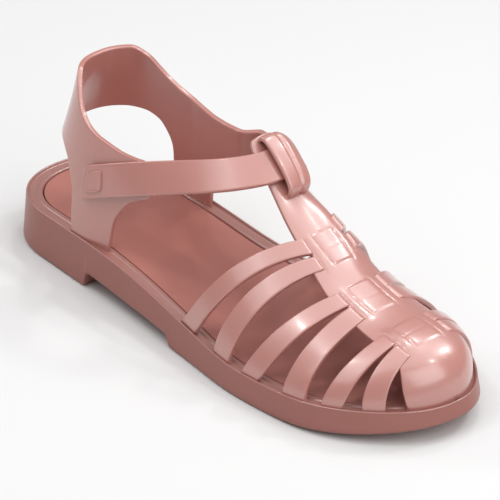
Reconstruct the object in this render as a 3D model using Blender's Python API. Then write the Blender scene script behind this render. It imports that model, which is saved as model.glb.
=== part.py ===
"""Jelly shoe for the right foot: a moulded sandal with a woven cage upper, at its real size.

The tables are in millimetres: along from the back of the heel towards the toe, across from the
middle line (medial side positive) and up from the floor. place() turns them into metres, with the
origin on the floor under the middle of the shoe.
"""

import math

import bmesh
import bpy
import numpy as np

MM = 0.001
SHOE = "jelly_shoe"


def table(names, *rows):
    """A short table as one array for each named column."""
    return dict(zip(names.split(), np.array(rows, float).T))


# Sole: outline by share of the length, and heights of the rim and the underside.
LENGTH = 250.0
SOLE = table(
    "share lateral medial",
    (0.00, 31.8, 31.7),
    (0.12, 33.7, 32.4),
    (0.25, 36.7, 30.5),
    (0.40, 40.2, 29.3),
    (0.55, 45.2, 34.0),
    (0.68, 49.4, 41.5),
    (0.80, 48.1, 41.0),
    (0.90, 42.9, 35.8),
    (1.00, 35.3, 28.4),
)
HEEL_ROUND, HEEL_POWER = 31.7, 2.2
TOE_ROUND, TOE_POWER = 51.4, 2.3
RIM_HEEL, RIM_BALL = 21.8, 12.0
RIM_FALL = (0.25, 0.70)
TOE_SPRING, SPRING_FROM = 6.9, 0.72
TOE_THINNING, THINNING_FROM = 3.9, 0.80
WALL_FLARE = 1.2
CORNER_RISE, CORNER_INSET = 2.0, 1.2
LIP_WIDTH, LIP_HEIGHT, LIP_CREST = 1.0, 0.8, (0.3, 0.9)
LEDGE_INNER = 7.0
WELL_DEPTH = 3.6
HEEL_BREAST, TREAD_START = 62.0, 124.0
ARCH_HEIGHT, ARCH_STEP, ARCH_SLANT = 7.2, 4.5, 2.5
CUT_BELOW, CUT_REACH = 1.0, 80.0

# Footbed that lies in the well of the sole.
GAP = 0.3
INSOLE_THICK = 2.3
INSOLE_CLEAR = 3 * GAP
INSOLE_DISH, INSOLE_DISH_INSET = 0.6, 14.0

# Last: outer face of the cage by place along the foot.
FEATHER_INSET = 2.0
TOE_TIP = LENGTH - FEATHER_INSET
LAST = table(
    "along crown ridge lateral_power medial_power",
    (112.0, 92.0, 8.0, 1.75, 1.75),
    (125.0, 84.0, 7.5, 1.77, 1.65),
    (140.0, 72.4, 6.0, 1.77, 1.55),
    (155.0, 60.6, 4.0, 1.75, 1.52),
    (170.0, 52.2, 3.0, 1.74, 1.52),
    (185.0, 44.6, 2.5, 1.79, 1.58),
    (200.0, 39.7, 2.0, 1.90, 1.70),
    (215.0, 37.2, 1.0, 2.00, 2.00),
    (250.0, 36.8, -1.0, 2.20, 3.20),
)
CAP_ROUND, CAP_POWER = 40.0, 3.0

# Shoulder: rise of the medial face beside the T-bar, where it starts and ends and how far down it runs.
SHOULDER, SHOULDER_FROM, SHOULDER_TO, SHOULDER_RUN = 3.2, (141.0, 158.0), (168.0, 188.0), (2.0, 14.0)

# Cage: wall, band edges (half width from the ridge) and straps (places along at sole and band).
WALL = 2.4
STRAP_PROUD, STRAP_WALL = 0.6, 2.4
BAND = table(
    "along half",
    (124.6, 7.0),
    (126.5, 8.6),
    (130.0, 9.5),
    (140.0, 9.9),
    (161.0, 11.9),
    (177.0, 15.0),
    (190.0, 17.2),
    (217.0, 18.2),
    (233.0, 18.2),
)
CAP_EDGE_BAND, CAP_EDGE_SOLE = 231.0, 241.0
CAGE_STRAPS = table(
    "sole_rear sole_front band_rear band_front rear_bow front_bow",
    (128.2, 138.8, 163.6, 170.6, 0.84, 0.95),
    (153.3, 163.4, 171.2, 177.7, 1.42, 1.38),
    (170.6, 180.6, 188.8, 196.2, 0.92, 0.85),
    (194.7, 206.1, 196.8, 205.8, 0.90, 0.85),
    (212.7, 220.7, 217.6, 225.0, 0.93, 0.65),
    (228.0, 235.3, 225.6, 233.2, 1.00, 1.00),
)
STRAP_BITE = 4.0
MEDIAL_SHIFT = -2.5

# Bridge over the ankle strap at the top of the T-bar.
BAR_TOP = 124.6
BRIDGE_FROM, BRIDGE_TO = 125.6, 148.5
BRIDGE_WIDTH, BRIDGE_WALL, BRIDGE_RAMP, BRIDGE_SINK = 10.0, 2.2, 4.0, 0.6
BRIDGE_PLAY = 6 * GAP

# Heel quarter: level sections of the ankle, and its edges by turn about the heel and run forward.
HEEL_CENTRE = 62.0
HEEL_SECTION_POWER = 2.2
ANKLE = table(
    "level back lateral medial",
    (18.0, 8.0, 35.0, 28.6),
    (40.0, 14.5, 34.0, 28.4),
    (57.0, 20.5, 31.5, 27.8),
    (75.0, 26.0, 28.5, 26.0),
    (92.0, 29.0, 25.0, 23.5),
)
QUARTER = table(
    "station low high",
    (0.0, 57.0, 88.5),
    (35.0, 57.0, 88.8),
    (52.0, 56.0, 85.0),
    (64.0, 53.0, 79.0),
    (72.0, 47.0, 75.0),
    (76.5, 40.0, 73.5),
    (79.0, 21.5, 72.6),
    (90.0, 21.5, 70.0),
    (101.5, 21.2, 67.8),
    (103.0, 32.0, 67.6),
    (106.0, 40.0, 67.4),
    (112.0, 47.5, 67.5),
    (122.0, 53.0, 68.5),
)
SIDE_TAPER = 0.10
QUARTER_WALL = 2.4

# Ankle strap: middle line of its inner face from the medial quarter over the T-bar to its end.
STRAP_WIDTH = 14.6
STRAP = table(
    "along across up",
    (108.0, 27.0, 64.8),
    (123.0, 22.5, 68.2),
    (131.5, 17.6, 71.3),
    (136.0, 11.8, 73.65),
    (137.3, 6.3, 75.3),
    (136.0, -3.0, 74.75),
    (125.5, -16.0, 72.2),
    (106.0, -25.0, 66.6),
    (81.0, -30.3, 57.6),
    (58.5, -33.4, 48.6),
)
STRAP_END_SLANT, STRAP_END_RUN = 7.5, 1.0
STRAP_AXIS_BACK, STRAP_AXIS_HEIGHT = 29.0, 36.0

# Facets: steps round the outlines (heel, sides, toe) and over each wall.
SOLE_STEPS, INSOLE_STEPS, ARCH_STEPS = (9, 22, 12), (8, 20, 10), 12
BAR_STEPS, BAND_STEPS, CAP_EDGE_STEPS, TIP_STEPS, PLATE_ROWS = 4, 24, 8, 9, 15
CAGE_STRAP_STEPS, CAGE_STRAP_ROWS = 10, 3
BRIDGE_STEPS, BRIDGE_ROWS = 14, 4
QUARTER_STEPS = ((0, 64, 9), (64, 80, 9), (80, 100, 4), (100, 112, 8), (112, 122, 3))
STRAP_STEPS, QUARTER_ROWS = 40, 5
WIDTH_STEPS = 501
MERGE, SLIVER, TINY = 1e-6, 1e-7, 1e-9
CREASE = math.radians(35)

# Finish of each piece: linear colour and roughness of the moulded plastic.
FINISH = {
    "outsole": ((0.60, 0.31, 0.28), 0.32),
    "insole": ((0.58, 0.30, 0.27), 0.42),
    "upper": ((0.64, 0.34, 0.31), 0.26),
    "heel_and_ankle_strap": ((0.64, 0.34, 0.31), 0.28),
}


def curve(at, knots, values):
    """Monotone cubic: the slope at a knot is the harmonic mean of the slopes beside it."""
    at = np.clip(at, knots[0], knots[-1])
    gaps = np.diff(knots)
    rise = np.diff(values) / gaps
    same = rise[:-1] * rise[1:] > 0
    total = np.where(same, rise[:-1] + rise[1:], 1.0)
    inner = np.where(same, 2 * rise[:-1] * rise[1:] / total, 0.0)
    slope = np.concatenate([rise[:1], inner, rise[-1:]])
    cell = np.clip(np.searchsorted(knots, at) - 1, 0, len(gaps) - 1)
    u = (at - knots[cell]) / gaps[cell]
    lean_in = (u**3 - 2 * u**2 + u) * gaps[cell] * slope[cell]
    lean_out = (u**3 - u**2) * gaps[cell] * slope[cell + 1]
    ease = u**2 * (3 - 2 * u)
    return values[cell] * (1 - ease) + values[cell + 1] * ease + lean_in + lean_out


def half_widths(along, inset):
    """Distances of the outline from the middle line on the lateral and medial side, drawn in."""
    share = np.clip((along - inset) / (LENGTH - 2 * inset), 0, 1)
    heel_round = HEEL_ROUND - inset
    toe_round = TOE_ROUND - inset
    to_heel = np.clip((inset + heel_round - along) / heel_round, 0, 1)
    to_toe = np.clip((along - LENGTH + inset + toe_round) / toe_round, 0, 1)
    heel_end = (1 - to_heel**HEEL_POWER) ** (1 / HEEL_POWER)
    toe_end = (1 - to_toe**TOE_POWER) ** (1 / TOE_POWER)
    lateral = curve(share, SOLE["share"], SOLE["lateral"] - inset)
    medial = curve(share, SOLE["share"], SOLE["medial"] - inset)
    return lateral * heel_end * toe_end, medial * heel_end * toe_end


def ramp(share, start, end):
    """Smooth step from 0 at start to 1 at end."""
    u = np.clip((share - start) / (end - start), 0, 1)
    return u * u * (3 - 2 * u)


def spring(along):
    """Height of the tread, which lifts towards the toe."""
    return TOE_SPRING * np.clip((along / LENGTH - SPRING_FROM) / (1 - SPRING_FROM), 0, 1) ** 2


def rim(along):
    """Height of the sole's rim, from the heel down to the ball and up with the toe spring."""
    share = along / LENGTH
    fall = ramp(share, *RIM_FALL)
    thinning = TOE_THINNING * np.clip((share - THINNING_FROM) / (1 - THINNING_FROM), 0, 1) ** 2
    return RIM_HEEL + (RIM_BALL - RIM_HEEL) * fall - thinning + spring(along)


def stations(inset, heel_steps, middle_steps, toe_steps):
    """Places along the outline, closer together on the round ends."""
    heel_turn = np.linspace(0, math.pi / 2, heel_steps, endpoint=False)
    toe_turn = np.linspace(0, math.pi / 2, toe_steps + 1)
    heel = inset + (HEEL_ROUND - inset) * (1 - np.cos(heel_turn))
    toe_start = LENGTH - TOE_ROUND
    middle = np.linspace(HEEL_ROUND, toe_start, middle_steps, endpoint=False)
    toe = toe_start + (TOE_ROUND - inset) * np.sin(toe_turn)
    return np.concatenate([heel, middle, toe])


def place(points):
    """Metres in the part's frame for millimetre points."""
    wide = np.linspace(0, LENGTH, WIDTH_STEPS)
    lateral, medial = half_widths(wide, -WALL_FLARE)
    middle = (medial.max() - lateral.max()) / 2
    return (np.asarray(points) - (LENGTH / 2, middle, 0.0)) * MM


def shoulder(along, from_ridge):
    """Rise of the medial face beside the T-bar, from the ridge out to the band's edge and down again."""
    half = curve(along, BAND["along"], BAND["half"])
    stretch = ramp(along, *SHOULDER_FROM) * (1 - ramp(along, *SHOULDER_TO))
    start, end = SHOULDER_RUN
    return SHOULDER * stretch * ramp(from_ridge, 0.0, half) * (1 - ramp(from_ridge, half + start, half + end))


def last_point(along, turn):
    """Outer face of the cage: turn 0 is the lateral feather line, pi / 2 the ridge, pi the medial."""
    lateral, medial = half_widths(along, FEATHER_INSET)
    to_tip = np.clip((along - TOE_TIP + CAP_ROUND) / CAP_ROUND, 0, 1)
    cap_end = (1 - to_tip**CAP_POWER) ** (1 / CAP_POWER)
    base = rim(along) - LIP_HEIGHT + GAP
    height = (curve(along, LAST["along"], LAST["crown"]) - base) * cap_end
    ridge = curve(along, LAST["along"], LAST["ridge"]) * cap_end
    side = np.cos(turn) > 0
    lateral_power = curve(along, LAST["along"], LAST["lateral_power"])
    medial_power = curve(along, LAST["along"], LAST["medial_power"])
    power = np.where(side, lateral_power, medial_power)
    reach = np.where(side, -lateral - ridge, medial - ridge)
    across = ridge + reach * np.abs(np.cos(turn)) ** (2 / power)
    up = base + height * np.clip(np.sin(turn), 0, 1) ** (2 / power) + shoulder(along, across - ridge)
    return np.stack([along + 0 * turn, across, up], -1)


def last_normal(along, turn):
    """Outward direction of the cage's outer face, from small steps along and around it."""
    step, twist = 0.02, 0.004
    ahead = np.clip(along + step, 0, TOE_TIP)
    behind = np.clip(along - step, 0, TOE_TIP)
    up = np.clip(turn + twist, 0, math.pi)
    down = np.clip(turn - twist, 0, math.pi)
    forward = last_point(ahead, turn) - last_point(behind, turn)
    around = last_point(along, up) - last_point(along, down)
    normal = np.cross(forward, around)
    size = np.linalg.norm(normal, axis=-1, keepdims=True)
    at_tip = (along > TOE_TIP - step)[..., None]
    return np.where(at_tip, (1.0, 0.0, 0.0), normal / np.maximum(size, TINY))


def band_turn(along, half):
    """Turns on the lateral and medial side where the section is half that far from the ridge."""
    lateral, medial = half_widths(along, FEATHER_INSET)
    ridge = curve(along, LAST["along"], LAST["ridge"])
    lateral_power = curve(along, LAST["along"], LAST["lateral_power"])
    medial_power = curve(along, LAST["along"], LAST["medial_power"])
    lateral_share = np.clip(half / np.maximum(lateral + ridge, TINY), 0, 1)
    medial_share = np.clip(half / np.maximum(medial - ridge, TINY), 0, 1)
    lateral_turn = np.arccos(lateral_share ** (lateral_power / 2))
    medial_turn = math.pi - np.arccos(medial_share ** (medial_power / 2))
    return lateral_turn, medial_turn


def new_mesh_object(name, points, faces, collection):
    """Closed mesh object from millimetre points, with doubled points merged and faces turned out."""
    mesh = bpy.data.meshes.new(name)
    mesh.from_pydata(place(points).tolist(), [], faces)
    work = bmesh.new()
    work.from_mesh(mesh)
    bmesh.ops.remove_doubles(work, verts=work.verts, dist=MERGE)
    bmesh.ops.dissolve_degenerate(work, edges=work.edges, dist=SLIVER)
    bmesh.ops.recalc_face_normals(work, faces=work.faces)
    work.to_mesh(mesh)
    work.free()
    mesh.shade_smooth()
    mesh.set_sharp_from_angle(angle=CREASE)
    obj = bpy.data.objects.new(name, mesh)
    collection.objects.link(obj)
    return obj


def shell(name, outer, inner, collection):
    """Wall between two grids of points of one size, closed round its edges."""
    rows, columns = outer.shape[:2]
    near = np.arange(rows * columns).reshape(rows, columns)
    far = near + rows * columns

    def quads(a, b, c, d):
        return np.stack([a, b, c, d], -1).reshape(-1, 4)

    faces = [
        quads(near[:-1, :-1], near[1:, :-1], near[1:, 1:], near[:-1, 1:]),
        quads(far[:-1, :-1], far[:-1, 1:], far[1:, 1:], far[1:, :-1]),
        quads(near[1:, 0], near[:-1, 0], far[:-1, 0], far[1:, 0]),
        quads(near[:-1, -1], near[1:, -1], far[1:, -1], far[:-1, -1]),
        quads(near[0, :-1], near[0, 1:], far[0, 1:], far[0, :-1]),
        quads(near[-1, 1:], near[-1, :-1], far[-1, :-1], far[-1, 1:]),
    ]
    points = np.concatenate([outer.reshape(-1, 3), inner.reshape(-1, 3)])
    return new_mesh_object(name, points, np.concatenate(faces).tolist(), collection)


def outline_loop(inset, height, steps):
    """Closed loop round the outline: lateral side to the toe, then medial side back to the heel."""
    along = stations(inset, *steps)
    lateral, medial = half_widths(along, inset)
    up = height(along)
    out = np.stack([along, -lateral, up], -1)
    back = np.stack([along, medial, up], -1)[-2:0:-1]
    return np.concatenate([out, back])


def loop_solid(name, loops, collection):
    """Solid through loops of one size, closed across the first and the last."""
    count = len(loops[0])
    half = count // 2
    ring = np.arange(count)
    after = (ring + 1) % count
    faces = []
    for level in range(len(loops) - 1):
        low, high = level * count, (level + 1) * count
        faces += np.stack([low + ring, low + after, high + after, high + ring], -1).tolist()
    last = (len(loops) - 1) * count
    for side in range(half):
        far_side, far_next = (count - side) % count, count - side - 1
        across = [side, side + 1, far_next, far_side]
        corners = list(dict.fromkeys(across))
        faces.append(corners[::-1])
        faces.append([last + corner for corner in corners])
    return new_mesh_object(name, np.concatenate(loops), faces, collection)


def boolean(obj, other, operation):
    """Boolean modifier on obj; the other object stays as a hidden helper."""
    modifier = obj.modifiers.new(other.name, "BOOLEAN")
    modifier.operation = operation
    modifier.solver = "EXACT"
    modifier.object = other
    other.hide_render = True
    other.display_type = "WIRE"


def make_outsole(parts, cutters):
    """Sole unit: flared wall, rim with a lip and ledge, well for the footbed, arch cut beneath."""
    loops = [
        outline_loop(CORNER_INSET - WALL_FLARE, spring, SOLE_STEPS),
        outline_loop(-WALL_FLARE, lambda along: spring(along) + CORNER_RISE, SOLE_STEPS),
        outline_loop(0.0, lambda along: rim(along) - LIP_HEIGHT, SOLE_STEPS),
        outline_loop(LIP_CREST[0], rim, SOLE_STEPS),
        outline_loop(LIP_CREST[1], rim, SOLE_STEPS),
        outline_loop(LIP_WIDTH, lambda along: rim(along) - LIP_HEIGHT, SOLE_STEPS),
        outline_loop(LEDGE_INNER, lambda along: rim(along) - LIP_HEIGHT, SOLE_STEPS),
        outline_loop(LEDGE_INNER + GAP, lambda along: rim(along) - WELL_DEPTH, SOLE_STEPS),
    ]
    outsole = loop_solid("outsole", loops, parts)
    run = np.linspace(0, 1, ARCH_STEPS)
    top = ARCH_HEIGHT + (ARCH_STEP - ARCH_HEIGHT) * ramp(run, 0, 1)
    along = HEEL_BREAST + ARCH_SLANT + (TREAD_START - HEEL_BREAST - 2 * ARCH_SLANT) * run
    start = HEEL_BREAST - ARCH_SLANT * CUT_BELOW / ARCH_HEIGHT
    end = TREAD_START + ARCH_SLANT * CUT_BELOW / ARCH_STEP
    along = np.concatenate([[start], along, [end]])[:, None]
    top = np.concatenate([[-CUT_BELOW], top, [-CUT_BELOW]])[:, None]
    reach = np.array([-CUT_REACH, CUT_REACH])
    roof = np.stack(np.broadcast_arrays(along, reach, top), -1)
    floor = np.stack(np.broadcast_arrays(along, reach, 0 * top - 2 * CUT_BELOW), -1)
    arch = shell("arch_cutter", roof, floor, cutters)
    boolean(outsole, arch, "DIFFERENCE")
    return outsole


def make_insole(parts):
    """Footbed in the well, a little dished towards its middle."""
    clear = LEDGE_INNER + INSOLE_CLEAR
    floor = WELL_DEPTH - GAP
    top = floor - INSOLE_THICK
    loops = [
        outline_loop(clear, lambda along: rim(along) - floor, INSOLE_STEPS),
        outline_loop(clear, lambda along: rim(along) - top, INSOLE_STEPS),
        outline_loop(INSOLE_DISH_INSET, lambda along: rim(along) - top - INSOLE_DISH, INSOLE_STEPS),
    ]
    return loop_solid("insole", loops, parts)


def cap_spread(along):
    """Share of the way from the band's edge out to the feather line, which the toe cap covers."""
    run = np.clip((along - CAP_EDGE_BAND) / (CAP_EDGE_SOLE - CAP_EDGE_BAND), 0, 1)
    return 1 - np.sqrt(1 - run**2)


def make_plate(collection):
    """T-bar, band and toe cap as one wall on the last."""
    edge_turn = np.linspace(0, math.pi / 2, CAP_EDGE_STEPS)[:-1]
    tip_start = math.asin((CAP_EDGE_SOLE - TOE_TIP + CAP_ROUND) / CAP_ROUND)
    tip_turn = np.linspace(tip_start, math.pi / 2, TIP_STEPS)
    band_start = BRIDGE_FROM + BRIDGE_RAMP
    along = np.concatenate(
        [
            np.linspace(BAR_TOP, band_start, BAR_STEPS, endpoint=False),
            np.linspace(band_start, CAP_EDGE_BAND, BAND_STEPS, endpoint=False),
            CAP_EDGE_BAND + (CAP_EDGE_SOLE - CAP_EDGE_BAND) * np.sin(edge_turn),
            TOE_TIP - CAP_ROUND + CAP_ROUND * np.sin(tip_turn),
        ]
    )
    half = curve(along, BAND["along"], BAND["half"])
    lateral_turn, medial_turn = band_turn(along, half)
    spread = cap_spread(along)
    lateral_turn = lateral_turn * (1 - spread)
    medial_turn = math.pi - (math.pi - medial_turn) * (1 - spread)
    share = np.linspace(0, 1, PLATE_ROWS)
    turn = lateral_turn[:, None] + (medial_turn - lateral_turn)[:, None] * share
    along = along[:, None] + 0 * share
    outer = last_point(along, turn)
    inner = outer - WALL * last_normal(along, turn)
    return shell("upper", outer, inner, collection)


def make_cage_strap(name, row, medial, collection):
    """One strap on the last from the feather line up on to the band."""
    run = np.linspace(0, 1, CAGE_STRAP_STEPS)
    middle = (CAGE_STRAPS["band_rear"][row] + CAGE_STRAPS["band_front"][row]) / 2
    middle += MEDIAL_SHIFT * medial
    half = curve(np.array([middle]), BAND["along"], BAND["half"]) - STRAP_BITE
    lateral_turn, medial_turn = band_turn(np.array([middle]), half)
    turn = math.pi + (medial_turn - math.pi) * run if medial else lateral_turn * run
    edges = {}
    for edge in ("rear", "front"):
        bend = run ** CAGE_STRAPS[edge + "_bow"][row]
        sole, band = CAGE_STRAPS["sole_" + edge][row], CAGE_STRAPS["band_" + edge][row]
        edges[edge] = sole + (band - sole) * bend + MEDIAL_SHIFT * medial
    rear, front = edges["rear"], edges["front"]
    share = np.linspace(0, 1, CAGE_STRAP_ROWS)
    along = rear[:, None] + (front - rear)[:, None] * share
    turn = turn[:, None] + 0 * share
    face = last_point(along, turn)
    normal = last_normal(along, turn)
    outer = face + STRAP_PROUD * normal
    return shell(name, outer, outer - STRAP_WALL * normal, collection)


def make_bridge(collection):
    """Loop on the T-bar that the ankle strap runs under."""
    along = np.linspace(BRIDGE_FROM, BRIDGE_TO, BRIDGE_STEPS)
    clear = QUARTER_WALL + BRIDGE_PLAY
    rise = ramp(along, BRIDGE_FROM, BRIDGE_FROM + BRIDGE_RAMP)
    fall = 1 - ramp(along, BRIDGE_TO - BRIDGE_RAMP, BRIDGE_TO)
    lift = (clear + BRIDGE_SINK) * rise * fall - BRIDGE_SINK
    lateral_turn, medial_turn = band_turn(along, np.full(along.shape, BRIDGE_WIDTH / 2))
    share = np.linspace(0, 1, BRIDGE_ROWS)
    turn = lateral_turn[:, None] + (medial_turn - lateral_turn)[:, None] * share
    along = along[:, None] + 0 * share
    normal = last_normal(along, turn)
    face = last_point(along, turn) + lift[:, None, None] * normal
    return shell("bridge", face + BRIDGE_WALL * normal, face, collection)


def make_upper(parts, cutters):
    """Cage: plate, twelve straps and the bridge joined into one moulded wall."""
    upper = make_plate(parts)
    for row in range(len(CAGE_STRAPS["sole_rear"])):
        for side, medial in (("lateral", False), ("medial", True)):
            strap = make_cage_strap(f"{side}_strap_{row + 1}", row, medial, cutters)
            boolean(upper, strap, "UNION")
    boolean(upper, make_bridge(cutters), "UNION")
    return upper


def ankle_point(station, level, medial):
    """Outer face of the heel quarter: turn in degrees to 90, then millimetres forward."""
    turn = np.radians(np.clip(station, 0, 90))
    forward = np.clip(station - 90, 0, None)
    back = curve(level, ANKLE["level"], ANKLE["back"])
    width = curve(level, ANKLE["level"], ANKLE["medial" if medial else "lateral"])
    power = 2 / HEEL_SECTION_POWER
    along = HEEL_CENTRE - (HEEL_CENTRE - back) * np.cos(turn) ** power + forward
    across = width * np.sin(turn) ** power - SIDE_TAPER * forward
    return np.stack([along, across if medial else -across, level], -1)


def quarter_grid(medial):
    """Outer face of one half of the quarter, from the back of the heel forwards."""
    steps = np.concatenate([np.linspace(a, b, n, endpoint=False) for a, b, n in QUARTER_STEPS])
    station = np.append(steps, QUARTER["station"][-1])
    low = curve(station, QUARTER["station"], QUARTER["low"])
    high = curve(station, QUARTER["station"], QUARTER["high"])
    share = np.linspace(0, 1, QUARTER_ROWS)
    level = low[:, None] + (high - low)[:, None] * share
    return ankle_point(station[:, None] + 0 * share, level, medial)


def strap_grid():
    """Outer face of the ankle strap from the medial quarter over the T-bar to its lateral end."""
    knots = np.arange(len(STRAP["along"]), dtype=float)
    run = np.linspace(0, knots[-1], STRAP_STEPS)
    path = np.stack([curve(run, knots, STRAP[name]) for name in ("along", "across", "up")], -1)
    ahead = np.gradient(path, axis=0)
    ahead /= np.linalg.norm(ahead, axis=1, keepdims=True)
    axis = np.stack([path[:, 0] - STRAP_AXIS_BACK, 0 * run, 0 * run + STRAP_AXIS_HEIGHT], -1)
    out = path - axis
    out -= (out * ahead).sum(1, keepdims=True) * ahead
    out /= np.linalg.norm(out, axis=1, keepdims=True)
    upward = np.cross(ahead, out)
    share = np.linspace(-0.5, 0.5, QUARTER_ROWS)
    face = path + QUARTER_WALL * out
    slant = STRAP_END_SLANT * ramp(run, knots[-1] - STRAP_END_RUN, knots[-1])
    rise = STRAP_WIDTH * share[:, None] * upward[:, None]
    return face[:, None] + rise - (slant[:, None] * share)[..., None] * ahead[:, None]


def make_quarter(parts):
    """Heel quarter and ankle strap, moulded as one wall that wraps the heel and the instep."""
    lateral = quarter_grid(medial=False)[::-1]
    medial = quarter_grid(medial=True)[1:]
    face = np.concatenate([lateral, medial, strap_grid()])
    ahead = np.gradient(face, axis=0)
    upward = np.gradient(face, axis=1)
    normal = np.cross(upward, ahead)
    normal /= np.linalg.norm(normal, axis=-1, keepdims=True)
    return shell("heel_and_ankle_strap", face, face - QUARTER_WALL * normal, parts)


def jelly_material(name, colour, roughness):
    """Glossy moulded plastic."""
    material = bpy.data.materials.new(name)
    material.use_nodes = True
    shader = material.node_tree.nodes["Principled BSDF"]
    shader.inputs["Base Color"].default_value = (*colour, 1.0)
    shader.inputs["Roughness"].default_value = roughness
    shader.inputs["Metallic"].default_value = 0.0
    return material


def main():
    for obj in list(bpy.data.objects):
        bpy.data.objects.remove(obj)
    parts = bpy.data.collections.new(SHOE)
    cutters = bpy.data.collections.new("cutters")
    bpy.context.scene.collection.children.link(parts)
    bpy.context.scene.collection.children.link(cutters)
    pieces = (
        make_outsole(parts, cutters),
        make_insole(parts),
        make_upper(parts, cutters),
        make_quarter(parts),
    )
    for piece in pieces:
        piece.data.materials.append(jelly_material(piece.name + "_jelly", *FINISH[piece.name]))


main()
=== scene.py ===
"""Looks of a moulded jelly shoe for the right foot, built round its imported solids.

The tables are in millimetres: along from the back of the heel to the toe, across from the middle
line with the medial side positive, and up from the floor. place() turns them into metres.
"""

import math

import bmesh
import bpy
import numpy as np
from bpy.props import FloatProperty, FloatVectorProperty, PointerProperty
from bpy.types import Operator, Panel, PropertyGroup
from mathutils import Matrix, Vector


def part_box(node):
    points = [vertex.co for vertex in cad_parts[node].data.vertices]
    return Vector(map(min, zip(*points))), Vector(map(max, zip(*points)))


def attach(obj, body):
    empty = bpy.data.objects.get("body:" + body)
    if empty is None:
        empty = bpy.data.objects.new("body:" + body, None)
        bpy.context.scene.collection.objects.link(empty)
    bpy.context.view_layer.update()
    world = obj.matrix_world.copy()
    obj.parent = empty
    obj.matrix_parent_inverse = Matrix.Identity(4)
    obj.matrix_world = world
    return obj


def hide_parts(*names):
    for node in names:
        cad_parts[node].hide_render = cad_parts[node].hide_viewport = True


bl_info = {
    "name": "Jelly Shoe",
    "version": (1, 0, 0),
    "blender": (4, 5, 0),
    "location": "3D View > Sidebar > Jelly Shoe",
    "description": "Builds the moulded surfaces, the finish and the stage of a jelly shoe",
    "category": "Object",
}

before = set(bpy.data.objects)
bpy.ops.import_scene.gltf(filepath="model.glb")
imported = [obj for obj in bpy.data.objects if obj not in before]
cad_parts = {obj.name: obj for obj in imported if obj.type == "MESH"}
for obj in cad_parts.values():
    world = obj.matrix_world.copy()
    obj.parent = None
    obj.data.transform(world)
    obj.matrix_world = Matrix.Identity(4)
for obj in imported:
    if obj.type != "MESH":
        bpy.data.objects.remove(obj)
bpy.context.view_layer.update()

MM = 0.001


def table(names, *rows):
    """A short table as one array for each named column."""
    return dict(zip(names.split(), np.array(rows, float).T))


# Sole: outline by share of the length, and heights of the rim and the underside.
WALL_FLARE = 1.2
SOLE_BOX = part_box("outsole")
LENGTH = round((SOLE_BOX[1].x - SOLE_BOX[0].x) / MM - 2 * WALL_FLARE, 1)
MIDDLE_LINE = (LENGTH / 2, -3.95, 0.0)
SOLE = table(
    "share lateral medial",
    (0.00, 31.8, 31.7),
    (0.12, 33.7, 32.4),
    (0.25, 36.7, 30.5),
    (0.40, 40.2, 29.3),
    (0.55, 45.2, 34.0),
    (0.68, 49.4, 41.5),
    (0.80, 48.1, 41.0),
    (0.90, 42.9, 35.8),
    (1.00, 35.3, 28.4),
)
HEEL_ROUND, HEEL_POWER = 31.7, 2.2
TOE_ROUND, TOE_POWER = 51.4, 2.3
RIM_HEEL, RIM_BALL = 21.8, 12.0
RIM_FALL = (0.25, 0.70)
TOE_SPRING, SPRING_FROM = 6.9, 0.72
TOE_THINNING, THINNING_FROM = 3.9, 0.80
CORNER_ROUND = 1.8
WELL_DEPTH = 3.6
HEEL_BREAST, TREAD_START = 62.0, 124.0
ARCH = table(
    "along height",
    (50.0, 0.0),
    (62.0, 0.0),
    (64.5, 7.2),
    (93.0, 5.8),
    (121.5, 4.5),
    (124.0, 0.0),
    (136.0, 0.0),
)
RIM_PROFILE = table(
    "inset below",
    (0.00, 1.00),
    (0.02, 0.50),
    (0.10, 0.22),
    (0.28, 0.05),
    (0.55, 0.00),
    (0.85, 0.06),
    (1.05, 0.25),
    (1.18, 0.60),
    (1.45, 0.98),
    (1.90, 1.10),
    (2.60, 0.98),
    (4.10, 0.92),
    (4.60, 0.80),
    (4.85, 0.52),
    (5.15, 0.40),
    (5.80, 0.38),
    (6.40, 0.46),
    (6.75, 0.66),
    (7.00, 1.00),
    (7.20, 1.70),
    (7.35, 3.60),
    (9.00, 3.60),
)
LIP_EDGE = RIM_PROFILE["below"][0]
TREAD_PITCH, TREAD_WAVE, TREAD_SWAY, TREAD_MARGIN = 6.6, 13.0, 1.4, 6.0
TREAD_LEVELS, TREAD_FADE, TREAD_STOP = (0.35, 0.75), 1.5, (5.0, 7.0)

# Footbed in the well of the sole.
FOOTBED_CLEAR, FOOTBED_LIFT = 7.6, 0.3
FOOTBED_PROFILE = table(
    "inset rise",
    (0.0, 0.0),
    (0.0, 2.0),
    (0.06, 2.22),
    (0.2, 2.35),
    (0.5, 2.4),
    (2.0, 2.4),
    (4.0, 2.2),
    (7.0, 1.9),
    (11.0, 1.75),
)

# Last: outer face of the cage by place along the foot.
FEATHER_INSET, FEATHER_SINK = 2.0, 1.6
TOE_TIP = LENGTH - FEATHER_INSET
LAST = table(
    "along crown ridge lateral_power medial_power",
    (112.0, 92.0, 8.0, 1.75, 1.75),
    (125.0, 84.0, 7.5, 1.77, 1.65),
    (140.0, 72.4, 6.0, 1.77, 1.55),
    (155.0, 60.6, 4.0, 1.75, 1.52),
    (170.0, 52.2, 3.0, 1.74, 1.52),
    (185.0, 44.6, 2.5, 1.79, 1.58),
    (200.0, 39.7, 2.0, 1.90, 1.70),
    (215.0, 37.2, 1.0, 2.00, 2.00),
    (250.0, 36.8, -1.0, 2.20, 3.20),
)
CAP_ROUND, CAP_POWER = 40.0, 3.0
CREST_ROUND = 0.2

# Shoulder: rise of the medial face beside the T-bar, where it starts and ends and how far down it runs.
SHOULDER, SHOULDER_FROM, SHOULDER_TO, SHOULDER_RUN = 3.2, (141.0, 158.0), (168.0, 188.0), (2.0, 14.0)

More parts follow.
